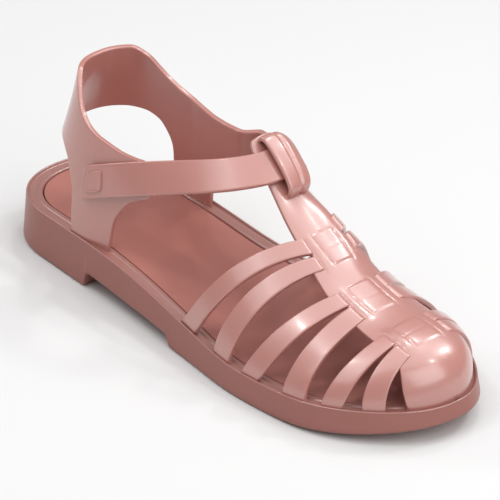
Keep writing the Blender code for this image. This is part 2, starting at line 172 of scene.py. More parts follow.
# Cage: band edges as half widths from the ridge, and straps by their places at sole and band.
BAND = table(
    "along half",
    (124.6, 7.0),
    (126.5, 8.6),
    (130.0, 9.5),
    (140.0, 9.9),
    (161.0, 11.9),
    (177.0, 15.0),
    (190.0, 17.2),
    (217.0, 18.2),
    (233.0, 18.2),
)
BAR_TOP, BAR_RUN = BAND["along"][0], 5.0
CAP_EDGE_BAND, CAP_EDGE_SOLE = 231.0, 241.0
CAGE_STRAPS = table(
    "sole_rear sole_front band_rear band_front rear_bow front_bow",
    (128.2, 138.8, 163.6, 170.6, 0.84, 0.95),
    (153.3, 163.4, 171.2, 177.7, 1.42, 1.38),
    (170.6, 180.6, 188.8, 196.2, 0.92, 0.85),
    (194.7, 206.1, 196.8, 205.8, 0.90, 0.85),
    (212.7, 220.7, 217.6, 225.0, 0.93, 0.65),
    (228.0, 235.3, 225.6, 233.2, 1.00, 1.00),
)
STRAP_BITE = 4.0
DIVE_RUN, DIVE_LEFT = 2.2, 0.25
SLIT_NOTCH, SLIT_FADE = 3.4, (1.0, 3.5)
MEDIAL_SHIFT = -2.5

# Weave: where each pair of straps crosses the band, its middle tile and the seams beside it.
WEAVE = table(
    "rear front lateral medial seam_rear seam_front medial_seam",
    (164.0, 178.0, -2.4, 9.2, -5.2, -6.8, 12.6),
    (189.5, 205.5, -6.6, 7.0, -9.4, -10.4, 11.0),
    (217.3, 231.4, -7.4, 7.4, -11.6, -12.0, 11.8),
)
WEAVE_STEP, SEAM_WIDTH = 0.3, 0.35
TILE_EDGE, TILE_DOME = 0.6, 2.4
TILE_SPLIT, SPLIT_WIDTH = 0.2, 0.5
STRIP_EDGE, STRIP_DOME = 0.8, 1.5
SWELL_BEYOND, SWELL_RUN = 3.0, 5.5

# Bridge over the ankle strap at the top of the T-bar.
BRIDGE_FROM, BRIDGE_TO = 125.6, 148.5
BRIDGE_WIDTH, BRIDGE_WALL, BRIDGE_SINK = 10.0, 2.2, 0.8
BRIDGE_CLEAR, BRIDGE_POWER = 4.2, 3.4
BRIDGE_GROOVE_WIDTH, BRIDGE_EDGE = 0.9, 1.5

# Heel quarter: level sections of the ankle, and its edges by turn about the heel and run forward.
HEEL_CENTRE = 62.0
HEEL_SECTION_POWER = 2.2
ANKLE = table(
    "level back lateral medial",
    (18.0, 8.0, 35.0, 28.6),
    (40.0, 14.5, 34.0, 28.4),
    (57.0, 20.5, 31.5, 27.8),
    (75.0, 26.0, 28.5, 26.0),
    (92.0, 29.0, 25.0, 23.5),
)
QUARTER = table(
    "station low high",
    (0.0, 57.0, 88.5),
    (35.0, 57.0, 88.8),
    (52.0, 56.0, 85.0),
    (64.0, 53.0, 79.0),
    (72.0, 47.0, 75.0),
    (76.5, 40.0, 73.5),
    (79.0, 19.6, 72.6),
    (90.0, 19.6, 70.0),
    (101.5, 19.4, 67.8),
    (103.0, 32.0, 67.6),
    (106.0, 40.0, 67.4),
    (112.0, 47.5, 67.5),
    (122.0, 53.0, 68.5),
)
SIDE_TAPER = 0.10

# Ankle strap: middle line of its inner face from the medial quarter over the T-bar to its end.
STRAP = table(
    "along across up",
    (108.0, 27.0, 64.8),
    (123.0, 22.5, 68.2),
    (131.5, 17.6, 71.55),
    (136.0, 11.8, 73.9),
    (137.3, 6.3, 75.5),
    (136.0, -3.0, 74.9),
    (125.5, -16.0, 72.2),
    (106.0, -25.0, 66.6),
    (81.0, -30.3, 57.6),
    (58.5, -33.4, 48.6),
)
STRAP_WIDTH = 14.6
STRAP_END_SLANT, STRAP_END_RUN = 7.5, 1.0
STRAP_AXIS_BACK, STRAP_AXIS_HEIGHT = 29.0, 36.0

# Raised square: its place before the strap's end in knots, millimetres to a knot, and its relief.
BADGE_BACK, BADGE_KNOT_RUN, BADGE_PULL = 0.32, 24.0, 0.17
BADGE_SUNK, BADGE_FIELD, BADGE_ROOT = 0.2, (0.66, 0.80), 0.6

# Widths of the bell curves that smooth the tables, and counts of the grids.
OUTLINE_BELL, LAST_BELL, BAND_BELL, ARCH_BELL = 0.025, 5.0, 0.8, 0.5
ANKLE_BELL, QUARTER_BELL, STRAP_BELL = 6.0, 0.5, 0.3
BELL_STEPS = 24
EDGE_MM, EDGE_SHARE = np.array([0.0, 0.05, 0.15, 0.30, 0.50, 0.75, 1.05]), 0.2
SOLE_RUNS = (
    (HEEL_ROUND, 59.0, 42),
    (59.0, 67.0, 24),
    (67.0, 119.0, 70),
    (119.0, 127.0, 24),
    (127.0, LENGTH - TOE_ROUND, 120),
)
HEEL_STEPS, TOE_STEPS, TREAD_COLUMNS = 56, 84, 60
FOOT_LOOPS, WALL_LOOPS = 7, np.linspace(0.15, 0.9, 6)
FOOTBED_RUNS = ((HEEL_ROUND, LENGTH - TOE_ROUND, 90),)
FOOTBED_HEEL_STEPS, FOOTBED_TOE_STEPS, FOOTBED_COLUMNS = 28, 36, 24
BAR_STEPS, BAND_STEPS, CAP_EDGE_STEPS, TIP_STEPS, PLATE_COLUMNS = 14, 190, 36, 26, 76
CAGE_STRAP_ROWS, DIVE_ROWS = np.linspace(0, 0.93, 44), np.linspace(0.94, 1, 12)
CAGE_STRAP_COLUMNS = 7
BRIDGE_STEPS, BRIDGE_COLUMNS = 64, 22
QUARTER_RUNS = ((0, 64, 50), (64, 80, 60), (80, 100, 20), (100, 112, 60), (112, 122, 12))
BLEND_STEPS, STRAP_STEPS, QUARTER_COLUMNS = 24, 170, 18
STRAP_TIP, STRAP_TIP_ROWS = 0.2, np.linspace(0.19, 0, 24)
BADGE_STEPS = 41
CHUNK = 400
TINY, WELD = 1e-9, 1e-7
CREASE = math.radians(40)


def curve(at, knots, values):
    """Monotone cubic: the slope at a knot is the harmonic mean of the slopes beside it."""
    inside = np.clip(at, knots[0], knots[-1])
    gaps = np.diff(knots)
    rise = np.diff(values) / gaps
    same = rise[:-1] * rise[1:] > 0
    total = np.where(same, rise[:-1] + rise[1:], 1.0)
    inner = np.where(same, 2 * rise[:-1] * rise[1:] / total, 0.0)
    slope = np.concatenate([rise[:1], inner, rise[-1:]])
    cell = np.clip(np.searchsorted(knots, inside) - 1, 0, len(gaps) - 1)
    u = (inside - knots[cell]) / gaps[cell]
    lean_in = (u**3 - 2 * u**2 + u) * gaps[cell] * slope[cell]
    lean_out = (u**3 - u**2) * gaps[cell] * slope[cell + 1]
    ease = u**2 * (3 - 2 * u)
    beyond = (at - inside) * np.where(at < knots[0], slope[0], slope[-1])
    return values[cell] * (1 - ease) + values[cell + 1] * ease + lean_in + lean_out + beyond


def soft_curve(knots, values, bell):
    """Reader of a table: its monotone cubic averaged under a bell curve of that width."""
    taps = np.arange(-3 * BELL_STEPS, 3 * BELL_STEPS + 1) / BELL_STEPS
    weights = np.exp(-0.5 * taps**2)
    at = np.arange(knots[0] - 7 * bell, knots[-1] + 7 * bell, bell / BELL_STEPS)
    smooth = np.convolve(curve(at, knots, values), weights / weights.sum(), mode="same")
    whole = slice(len(taps), -len(taps))
    return lambda x: np.interp(x, at[whole], smooth[whole])


LATERAL = soft_curve(SOLE["share"], SOLE["lateral"], OUTLINE_BELL)
MEDIAL = soft_curve(SOLE["share"], SOLE["medial"], OUTLINE_BELL)
ARCH_AT = soft_curve(ARCH["along"], ARCH["height"], ARCH_BELL)
LAST_AT = {name: soft_curve(LAST["along"], LAST[name], LAST_BELL) for name in LAST}
BAND_HALF = soft_curve(BAND["along"], BAND["half"], BAND_BELL)
ANKLE_AT = {name: soft_curve(ANKLE["level"], ANKLE[name], ANKLE_BELL) for name in ANKLE}
QUARTER_AT = {name: soft_curve(QUARTER["station"], QUARTER[name], QUARTER_BELL) for name in QUARTER}
STRAP_KNOTS = np.arange(len(STRAP["along"]), dtype=float)
STRAP_AT = [soft_curve(STRAP_KNOTS, STRAP[name], STRAP_BELL) for name in STRAP]


def ramp(value, start, end):
    """Smooth step from 0 at start to 1 at end."""
    u = np.clip((value - start) / (end - start), 0, 1)
    return u * u * (3 - 2 * u)


def half_widths(along, inset):
    """Distances of the outline from the middle line on the lateral and medial side, drawn in."""
    share = np.clip((along - inset) / (LENGTH - 2 * inset), 0, 1)
    heel_round = HEEL_ROUND - inset
    toe_round = TOE_ROUND - inset
    to_heel = np.clip((inset + heel_round - along) / heel_round, 0, 1)
    to_toe = np.clip((along - LENGTH + inset + toe_round) / toe_round, 0, 1)
    ends = (1 - to_heel**HEEL_POWER) ** (1 / HEEL_POWER) * (1 - to_toe**TOE_POWER) ** (1 / TOE_POWER)
    return (LATERAL(share) - inset) * ends, (MEDIAL(share) - inset) * ends


def spring(along):
    """Height of the tread, which lifts towards the toe with the square of the way."""
    return TOE_SPRING * np.clip((along / LENGTH - SPRING_FROM) / (1 - SPRING_FROM), 0, 1) ** 2


def underside(along):
    """Height of the sole's underside: the arch between heel and tread, and the toe spring."""
    return np.maximum(ARCH_AT(along), 0) + spring(along)


def rim(along):
    """Height of the sole's rim, from the heel down to the ball and up with the toe spring."""
    share = along / LENGTH
    fall = ramp(share, *RIM_FALL)
    thinning = TOE_THINNING * np.clip((share - THINNING_FROM) / (1 - THINNING_FROM), 0, 1) ** 2
    return RIM_HEEL + (RIM_BALL - RIM_HEEL) * fall - thinning + spring(along)


def wall_height(along, share):
    """Height on the sole's wall, a share of the way from its rounded foot up to the lip."""
    return (underside(along) + CORNER_ROUND) * (1 - share) + (rim(along) - LIP_EDGE) * share


def place(points):
    """Metres in the part's frame for millimetre points."""
    return (np.asarray(points) - MIDDLE_LINE) * MM


def unit(vectors):
    """Vectors of length 1."""
    return vectors / np.maximum(np.linalg.norm(vectors, axis=-1, keepdims=True), TINY)


def grid_quads(rows, columns):
    """Corner numbers of the quads of a grid of points."""
    at = np.arange(rows * columns).reshape(rows, columns)
    return np.stack([at[:-1, :-1], at[1:, :-1], at[1:, 1:], at[:-1, 1:]], -1).reshape(-1, 4)


def ring_quads(loops, count):
    """Corner numbers of the quads between loops that follow each other."""
    ring = np.arange(count)
    after = (ring + 1) % count
    low = np.arange(loops - 1)[:, None] * count
    high = low + count
    return np.stack([low + ring, low + after, high + after, high + ring], -1).reshape(-1, 4)


def joined(shapes):
    """One list of points and one of quads for several shapes."""
    starts = np.cumsum([0] + [len(points) for points, quads in shapes])
    points = np.concatenate([points for points, quads in shapes])
    quads = np.concatenate([quads + start for (corners, quads), start in zip(shapes, starts)])
    return points, quads


def new_piece(name, shape, material, node):
    """Object of a closed shape that stands for a solid of the frame and rides on its body."""
    points, quads = shape
    mesh = bpy.data.meshes.new(name)
    mesh.from_pydata(place(points), [], quads.tolist())
    work = bmesh.new()
    work.from_mesh(mesh)
    bmesh.ops.remove_doubles(work, verts=work.verts, dist=WELD)
    bmesh.ops.dissolve_degenerate(work, edges=work.edges, dist=WELD)
    bmesh.ops.recalc_face_normals(work, faces=work.faces)
    work.to_mesh(mesh)
    work.free()
    mesh.shade_smooth()
    mesh.set_sharp_from_angle(angle=CREASE)
    mesh.materials.append(material)
    piece = bpy.data.objects.new(name, mesh)
    bpy.context.scene.collection.objects.link(piece)
    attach(piece, "root")
    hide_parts(node)


def border_distance(points, border):
    """Distance of each point to the nearest stretch of a closed border."""
    step = np.roll(border, -1, axis=0) - border
    length = np.maximum((step**2).sum(-1), TINY)
    near = []
    for some in np.array_split(points, max(1, len(points) // CHUNK)):
        way = some[:, None] - border
        share = np.clip((way * step).sum(-1) / length, 0, 1)
        near.append(np.linalg.norm(way - share[..., None] * step, axis=-1).min(1))
    return np.concatenate(near)


def border_of(grid):
    """Closed border of a grid: its first row, last column, last row and first column."""
    return np.concatenate([grid[0, :-1], grid[:-1, -1], grid[-1, :0:-1], grid[:0:-1, 0]])


def moulded_wall(face, normal, wall, edge):
    """Closed wall under a grid of face points, with rounded edges.

    At distance d from the grid's border both faces draw in by edge - sqrt(edge^2 - (edge - d)^2).
    """
    rows, columns = face.shape[:2]
    away = border_distance(face.reshape(-1, 3), border_of(face)).reshape(rows, columns, 1)
    drop = edge - np.sqrt(edge**2 - np.clip(edge - away, 0, edge) ** 2)
    outer = face - drop * normal
    inner = face - (wall - drop) * normal
    near = border_of(np.arange(rows * columns).reshape(rows, columns))
    far = near + rows * columns
    sides = np.stack([near, np.roll(near, -1), np.roll(far, -1), far], -1)
    quads = grid_quads(rows, columns)
    faces = np.concatenate([quads, quads[:, ::-1] + rows * columns, sides])
    return np.concatenate([outer.reshape(-1, 3), inner.reshape(-1, 3)]), faces


def crowded(run_start, run_end, middle):
    """Shares across a row, crowded at both edges: fixed millimetres divided by the row's run."""
    most = EDGE_MM / EDGE_MM[-1] * EDGE_SHARE
    start = np.minimum(EDGE_MM / np.maximum(run_start, TINY)[:, None], most)
    end = np.minimum(EDGE_MM / np.maximum(run_end, TINY)[:, None], most)
    between = np.linspace(0, 1, middle + 2)[1:-1]
    inner = start[:, -1:] + (1 - end[:, -1:] - start[:, -1:]) * between
    return np.concatenate([start, inner, 1 - end[:, ::-1]], axis=1)


def stations(inset, heel_steps, runs, toe_steps):
    """Places along the outline, closer together on the round ends."""
    heel_turn = np.linspace(0, math.pi / 2, heel_steps, endpoint=False)
    toe_turn = np.linspace(0, math.pi / 2, toe_steps + 1)
    heel = inset + (HEEL_ROUND - inset) * (1 - np.cos(heel_turn))
    middle = [np.linspace(start, end, steps, endpoint=False) for start, end, steps in runs]
    toe = LENGTH - TOE_ROUND + (TOE_ROUND - inset) * np.sin(toe_turn)
    return np.concatenate([heel, *middle, toe])


def outline_loop(inset, height, steps):
    """Closed loop round the outline: lateral side to the toe, then medial side back to the heel."""
    along = stations(inset, *steps)
    lateral, medial = half_widths(along, inset)
    up = height(along)
    out = np.stack([along, -lateral, up], -1)
    back = np.stack([along, medial, up], -1)[-2:0:-1]
    return np.concatenate([out, back])


def outline_sheet(inset, height, steps, columns):
    """Grid that fills the outline: straight rows from the lateral to the medial side."""
    along = stations(inset, *steps)
    lateral, medial = half_widths(along, inset)
    share = np.linspace(0, 1, columns)
    across = -lateral[:, None] + (lateral + medial)[:, None] * share
    along = along[:, None] + 0 * share
    points = np.stack([along, across, height(along, across)], -1)
    return points.reshape(-1, 3), grid_quads(*along.shape)


def sole_shape(sizes):
    """Sole unit: a profile carried round the outline, closed by the tread and the well's floor.

    The wall leans out evenly from the rim to a rounded foot. The tread has wavy grooves, where the
    sine of the way along plus a cosine of the way across passes a level.
    """
    steps = (HEEL_STEPS, SOLE_RUNS, TOE_STEPS)
    loops = []
    for turn in np.linspace(0, math.pi / 2, FOOT_LOOPS):
        inset = CORNER_ROUND * (1 - math.sin(turn)) - WALL_FLARE
        lift = CORNER_ROUND * (1 - math.cos(turn))
        loops.append(outline_loop(inset, lambda along: underside(along) + lift, steps))
    for share in WALL_LOOPS:
        inset = WALL_FLARE * (share - 1)
        loops.append(outline_loop(inset, lambda along: wall_height(along, share), steps))
    for inset, below in zip(RIM_PROFILE["inset"], RIM_PROFILE["below"]):
        loops.append(outline_loop(inset, lambda along: rim(along) - below, steps))
    wall = np.concatenate(loops), ring_quads(len(loops), len(loops[0]))

    def tread(along, across):
        lateral, medial = half_widths(along, TREAD_MARGIN)
        sway = TREAD_SWAY * np.cos(across * 2 * math.pi / TREAD_WAVE)
        wave = np.sin((along + sway) * 2 * math.pi / TREAD_PITCH)
        inside = np.minimum(medial - across, across + lateral)
        near, far = TREAD_STOP
        heel = 1 - ramp(along, HEEL_BREAST - far, HEEL_BREAST - near)
        ball = ramp(along, TREAD_START + near, TREAD_START + far)
        groove = ramp(wave, *TREAD_LEVELS) * ramp(inside, 0, TREAD_FADE) * (heel + ball)
        return underside(along) + sizes.tread_depth / MM * groove

    under = outline_sheet(CORNER_ROUND - WALL_FLARE, tread, steps, TREAD_COLUMNS)
    well = RIM_PROFILE["inset"][-1]
    floor = outline_sheet(well, lambda along, across: rim(along) - WELL_DEPTH, steps, 2)
    return joined([wall, under, floor])


def footbed_shape():
    """Footbed: a low profile carried round the outline, closed by sheets above and below."""
    steps = (FOOTBED_HEEL_STEPS, FOOTBED_RUNS, FOOTBED_TOE_STEPS)
    low = WELL_DEPTH - FOOTBED_LIFT
    loops = [
        outline_loop(FOOTBED_CLEAR + inset, lambda along: rim(along) - low + rise, steps)
        for inset, rise in zip(FOOTBED_PROFILE["inset"], FOOTBED_PROFILE["rise"])
    ]
    wall = np.concatenate(loops), ring_quads(len(loops), len(loops[0]))
    inset, rise = FOOTBED_PROFILE["inset"][-1], FOOTBED_PROFILE["rise"][-1]
    top = outline_sheet(
        FOOTBED_CLEAR + inset, lambda along, across: rim(along) - low + rise, steps, FOOTBED_COLUMNS
    )
    base = outline_sheet(FOOTBED_CLEAR, lambda along, across: rim(along) - low, steps, 2)
    return joined([wall, top, base])


def shoulder(along, from_ridge):
    """Rise of the medial face beside the T-bar.

    It is a smooth step from the ridge out to the band's edge and a smooth step down again below it,
    times smooth steps that fade it in and out along the foot.
    """
    half = BAND_HALF(along)
    stretch = ramp(along, *SHOULDER_FROM) * (1 - ramp(along, *SHOULDER_TO))
    start, end = SHOULDER_RUN
    down = 1 - ramp(from_ridge, half + start, half + end)
    return SHOULDER * stretch * ramp(from_ridge, 0.0, half) * down


def last_point(along, turn):
    """Outer face of the cage: turn 0 is the lateral feather line, pi / 2 the ridge, pi the medial.

    Each side of a section is a quarter of a superellipse from the feather line up to the ridge,
    with the way from the ridge w read as the root of w^2 + r^2 so that the crest is round. The
    shoulder's rise is added to it.
    """
    lateral, medial = half_widths(along, FEATHER_INSET)
    to_tip = np.clip((along - TOE_TIP + CAP_ROUND) / CAP_ROUND, 0, 1)
    cap_end = (1 - to_tip**CAP_POWER) ** (1 / CAP_POWER)
    base = rim(along) - FEATHER_SINK
    height = (LAST_AT["crown"](along) - base) * cap_end
    ridge = LAST_AT["ridge"](along) * cap_end
    side = np.cos(turn) > 0
    power = np.where(side, LAST_AT["lateral_power"](along), LAST_AT["medial_power"](along))
    reach = np.where(side, -lateral - ridge, medial - ridge)
    way = np.abs(np.cos(turn)) ** (2 / power)
    soft = CREST_ROUND**power
    whole = (1 + CREST_ROUND**2) ** (power / 2) - soft
    fall = ((way**2 + CREST_ROUND**2) ** (power / 2) - soft) / whole
    up = base + height * np.clip(1 - fall, 0, 1) ** (1 / power) + shoulder(along, reach * way)
    return np.stack([along + 0 * turn, ridge + reach * way, up], -1)


def last_normal(along, turn):
    """Outward direction of the cage's outer face, from small steps along and around it."""
    step, twist = 0.2, 0.004
    ahead = np.clip(along + step, 0, TOE_TIP)
    behind = np.clip(along - step, 0, TOE_TIP)
    up = np.clip(turn + twist, 0, math.pi)
    down = np.clip(turn - twist, 0, math.pi)
    forward = last_point(ahead, turn) - last_point(behind, turn)
    around = last_point(along, up) - last_point(along, down)
    at_tip = (along > TOE_TIP - step / 4)[..., None]
    return np.where(at_tip, (1.0, 0.0, 0.0), unit(np.cross(forward, around)))


def turn_at(along, across):
    """Turn of the section where the face lies that far across."""
    lateral, medial = half_widths(along, FEATHER_INSET)
    ridge = LAST_AT["ridge"](along)
    from_ridge = across - ridge
    lateral_share = np.clip(-from_ridge / np.maximum(lateral + ridge, TINY), 0, 1)
    medial_share = np.clip(from_ridge / np.maximum(medial - ridge, TINY), 0, 1)
    lateral_turn = np.arccos(lateral_share ** (LAST_AT["lateral_power"](along) / 2))
    medial_turn = math.pi - np.arccos(medial_share ** (LAST_AT["medial_power"](along) / 2))
    return np.where(from_ridge < 0, lateral_turn, medial_turn)


def band_turn(along, half):
    """Turns on the lateral and medial side where the section is half that far from the ridge."""
    ridge = LAST_AT["ridge"](along)
    return turn_at(along, ridge - half), turn_at(along, ridge + half)


def weave_relief(along, across, sizes):
    """Rise of the band's face at the crossings, in millimetres.

    A tile has crisp steps in front and behind, dips beside the strips and has a groove across its
    middle. A strip on each side of it swells up slowly along the crossing and has crisp sides.
    """
    rise, seam = sizes.weave_rise / MM, sizes.seam_depth / MM
    relief = np.zeros(np.shape(along))
    for rear, front, lateral, medial, seam_rear, seam_front, medial_seam in zip(*WEAVE.values()):
        middle, half = (rear + front) / 2, (front - rear) / 2
        reach = np.abs(along - middle)
        crossing = ramp(half - reach, -WEAVE_STEP, WEAVE_STEP)
        swell = ramp(half + SWELL_BEYOND - reach, 0.0, SWELL_RUN)
        tile_in = np.minimum(across - lateral, medial - across)
        dome = TILE_EDGE + (1 - TILE_EDGE) * ramp(tile_in, 0.0, TILE_DOME)
        split = np.exp(-(((along - middle) / SPLIT_WIDTH) ** 2))
        tile = ramp(tile_in, -WEAVE_STEP, WEAVE_STEP) * (dome - TILE_SPLIT * split)
        relief += rise * crossing * tile
        outer = seam_rear + (seam_front - seam_rear) * np.clip((along - rear) / (front - rear), 0, 1)
        for near, far in ((outer, lateral), (medial, medial_seam)):
            strip_in = np.minimum(across - near, far - across)
            crown = STRIP_EDGE + (1 - STRIP_EDGE) * ramp(strip_in, 0.0, STRIP_DOME)
            relief += rise * swell * ramp(strip_in, -WEAVE_STEP, WEAVE_STEP) * crown
            for line in (near, far):
                relief -= seam * crossing * np.exp(-(((across - line) / SEAM_WIDTH) ** 2))
    return relief


def slit_notch(along):
    """How far the band's edge draws in under the slit between the two straps of a pair."""
    slits = (CAGE_STRAPS["band_front"][0::2] + CAGE_STRAPS["band_rear"][1::2]) / 2
    away = np.abs(np.asarray(along)[..., None] - slits).min(-1)
    return SLIT_NOTCH * (1 - ramp(away, *SLIT_FADE))


def plate_shape(sizes):
    """T-bar, band and toe cap as one wall on the last, with the weave's relief.

    The cap's rear edge runs down from the band as a quarter of an ellipse in turn and way along.
    """
    edge_turn = np.linspace(0, math.pi / 2, CAP_EDGE_STEPS)[:-1]
    tip_start = math.asin((CAP_EDGE_SOLE - TOE_TIP + CAP_ROUND) / CAP_ROUND)
    tip_turn = np.linspace(tip_start, math.pi / 2, TIP_STEPS)
    band_start = BAR_TOP + BAR_RUN
    along = np.concatenate(
        [
            BAR_TOP + EDGE_MM[:-1],
            np.linspace(BAR_TOP + EDGE_MM[-1], band_start, BAR_STEPS, endpoint=False),
            np.linspace(band_start, CAP_EDGE_BAND, BAND_STEPS, endpoint=False),
            CAP_EDGE_BAND + (CAP_EDGE_SOLE - CAP_EDGE_BAND) * np.sin(edge_turn),
            TOE_TIP - CAP_ROUND + CAP_ROUND * np.sin(tip_turn),
        ]
    )
    run = np.clip((along - CAP_EDGE_BAND) / (CAP_EDGE_SOLE - CAP_EDGE_BAND), 0, 1)
    lateral_turn = band_turn(along, BAND_HALF(along) - slit_notch(along))[0]
    medial_turn = band_turn(along, BAND_HALF(along) - slit_notch(along - MEDIAL_SHIFT))[1]
    lateral_turn = lateral_turn * np.sqrt(1 - run**2)
    medial_turn = math.pi - (math.pi - medial_turn) * np.sqrt(1 - run**2)
    span = medial_turn - lateral_turn
    nudge = 0.01
    lateral_run = last_point(along, lateral_turn + nudge * span) - last_point(along, lateral_turn)
    medial_run = last_point(along, medial_turn - nudge * span) - last_point(along, medial_turn)
    share = crowded(
        np.linalg.norm(lateral_run, axis=-1) / nudge,
        np.linalg.norm(medial_run, axis=-1) / nudge,
        PLATE_COLUMNS,
    )
    turn = lateral_turn[:, None] + span[:, None] * share
    along = along[:, None] + 0 * share
    face = last_point(along, turn)
    normal = last_normal(along, turn)
    face = face + weave_relief(along, face[..., 1], sizes)[..., None] * normal
    return moulded_wall(face, normal, sizes.wall / MM, sizes.edge_round / MM)


def cage_strap_shape(row, medial, sizes):
    """One strap on the last from the feather line up to the seam where it dives under the weave.

    Its edges run from the sole to the band as powers of the share of the turn.
    """
    column = {name: values[row] for name, values in CAGE_STRAPS.items()}
    shift = MEDIAL_SHIFT * medial
    pair = {name: values[row // 2] for name, values in WEAVE.items()}
    middle = np.array([(column["band_rear"] + column["band_front"]) / 2 + shift])
    ends = band_turn(middle, BAND_HALF(middle) - STRAP_BITE)
    whole = math.pi - ends[1][0] if medial else ends[0][0]
    width = column["sole_front"] - column["sole_rear"]
    share = crowded(np.array([width]), np.array([width]), CAGE_STRAP_COLUMNS)[0]
    tip = column["band_rear"] + (column["band_front"] - column["band_rear"]) * share + shift
    way = np.clip((tip - pair["rear"]) / (pair["front"] - pair["rear"]), 0, 1)
    seam = pair["seam_rear"] + (pair["seam_front"] - pair["seam_rear"]) * way
    end_turn = turn_at(tip, np.full(tip.shape, pair["medial_seam"]) if medial else seam)
    end_turn = math.pi - end_turn if medial else end_turn
    run = np.concatenate([CAGE_STRAP_ROWS, DIVE_ROWS])[:, None]
    part = run * (end_turn / whole)

    def edge(end):
        sole, band = column["sole_" + end], column["band_" + end]
        return sole + (band - sole) * part ** column[end + "_bow"]

    rear, front = edge("rear"), edge("front")
    along = rear + (front - rear) * share + shift
    turn = part * whole
    turn = math.pi - turn if medial else turn
    face = last_point(along, turn)
    normal = last_normal(along, turn)
    to_end = np.linalg.norm(face - face[-1:], axis=-1)
    dive = ramp(to_end, 0.0, DIVE_RUN)
    proud = sizes.strap_proud / MM * (DIVE_LEFT + (1 - DIVE_LEFT) * dive)
    face = face + proud[..., None] * normal
    return moulded_wall(face, normal, sizes.wall / MM, sizes.edge_round / MM)


def bridge_shape(sizes):
    """Loop on the T-bar: a strip lifted over the ankle strap, with a groove down its middle.

    Along the T-bar its lift is half a superellipse, so the feet stand upright and the top is round.
    """
    swing = np.linspace(-math.pi / 2, math.pi / 2, BRIDGE_STEPS)
    middle, half = (BRIDGE_FROM + BRIDGE_TO) / 2, (BRIDGE_TO - BRIDGE_FROM) / 2
    along = middle + half * np.sign(swing) * np.abs(np.sin(swing)) ** (2 / BRIDGE_POWER)
    arch = np.clip(np.cos(swing), 0, 1) ** (2 / BRIDGE_POWER)
    lift = (BRIDGE_CLEAR + BRIDGE_WALL + BRIDGE_SINK) * arch - BRIDGE_SINK
    lateral_turn, medial_turn = band_turn(along, np.full(along.shape, BRIDGE_WIDTH / 2))
    width = np.full(along.shape, BRIDGE_WIDTH)
    share = crowded(width, width, BRIDGE_COLUMNS)
    turn = lateral_turn[:, None] + (medial_turn - lateral_turn)[:, None] * share
    off_middle = (share - 0.5) * BRIDGE_WIDTH / BRIDGE_GROOVE_WIDTH
    groove = sizes.bridge_groove / MM * np.exp(-(off_middle**2))
    along = along[:, None] + 0 * share
    face = last_point(along, turn) + lift[:, None, None] * last_normal(along, turn)
    normal = unit(np.cross(np.gradient(face, axis=0), np.gradient(face, axis=1)))
    face = face - groove[..., None] * normal
    return moulded_wall(face, normal, BRIDGE_WALL, BRIDGE_EDGE * sizes.edge_round / MM)


def upper_shape(sizes):
    """Plate, straps and bridge of the cage."""
    shapes = [plate_shape(sizes)]
    for row in range(len(CAGE_STRAPS["sole_rear"])):
        shapes.append(cage_strap_shape(row, False, sizes))
        shapes.append(cage_strap_shape(row, True, sizes))
    shapes.append(bridge_shape(sizes))
    return joined(shapes)


def ankle_point(station, level, medial):
    """Outer face of the heel quarter: turn in degrees to 90, then millimetres forward.

    A level section is half a superellipse round the heel, carried straight on with a slight taper.
    """
    turn = np.radians(np.clip(station, 0, 90))
    forward = np.clip(station - 90, 0, None)
    back = ANKLE_AT["back"](level)
    width = ANKLE_AT["medial" if medial else "lateral"](level)
    power = 2 / HEEL_SECTION_POWER
    along = HEEL_CENTRE - (HEEL_CENTRE - back) * np.cos(turn) ** power + forward
    across = width * np.sin(turn) ** power - SIDE_TAPER * forward
    return np.stack([along, across if medial else -across, level], -1)


def quarter_grid(medial):
    """Outer face of one half of the quarter, from the back of the heel forwards."""
    steps = [np.linspace(start, end, count, endpoint=False) for start, end, count in QUARTER_RUNS]
    station = np.append(np.concatenate(steps), QUARTER["station"][-1])
    low, high = QUARTER_AT["low"](station), QUARTER_AT["high"](station)
    share = crowded(high - low, high - low, QUARTER_COLUMNS)
    level = low[:, None] + (high - low)[:, None] * share
    return ankle_point(station[:, None] + 0 * share, level, medial)


def strap_frame(run, wall):
    """Places on the strap's outer middle line, with the directions ahead, up across and out."""
    path = np.stack([read(run) for read in STRAP_AT], -1)
    step = 0.05
    ahead = unit(np.stack([read(run + step) - read(run - step) for read in STRAP_AT], -1))
    axis = np.stack([path[..., 0] - STRAP_AXIS_BACK, 0 * run, 0 * run + STRAP_AXIS_HEIGHT], -1)
    out = path - axis
    out = unit(out - (out * ahead).sum(-1, keepdims=True) * ahead)
    return path + wall * out, ahead, np.cross(ahead, out), out


def strap_point(run, across, wall):
    """Outer face of the ankle strap at a run along its knots and millimetres across it."""
    path, ahead, upward = strap_frame(run, wall)[:3]
    last = STRAP_KNOTS[-1]
    slant = STRAP_END_SLANT * ramp(run, last - STRAP_END_RUN, last) * across / STRAP_WIDTH
    return path + across[..., None] * upward - slant[..., None] * ahead


def strap_grid(wall, corner):
    """Outer face of the strap from the medial quarter over the T-bar to its end.

    The end's corners are arcs: at distance s from the end the edges draw in by
    corner - sqrt(corner^2 - (corner - s)^2).
    """
    last = STRAP_KNOTS[-1]
    run = np.concatenate([np.linspace(0, last - STRAP_TIP, STRAP_STEPS), last - STRAP_TIP_ROWS])
    path = strap_frame(run, wall)[0]
    to_end = np.linalg.norm(path - path[-1], axis=-1)
    draw = corner - np.sqrt(corner**2 - np.clip(corner - to_end, 0, corner) ** 2)
    width = STRAP_WIDTH - 2 * draw
    share = crowded(width, width, QUARTER_COLUMNS) - 0.5
    return strap_point(run[:, None] + 0 * share, share * width[:, None], wall)


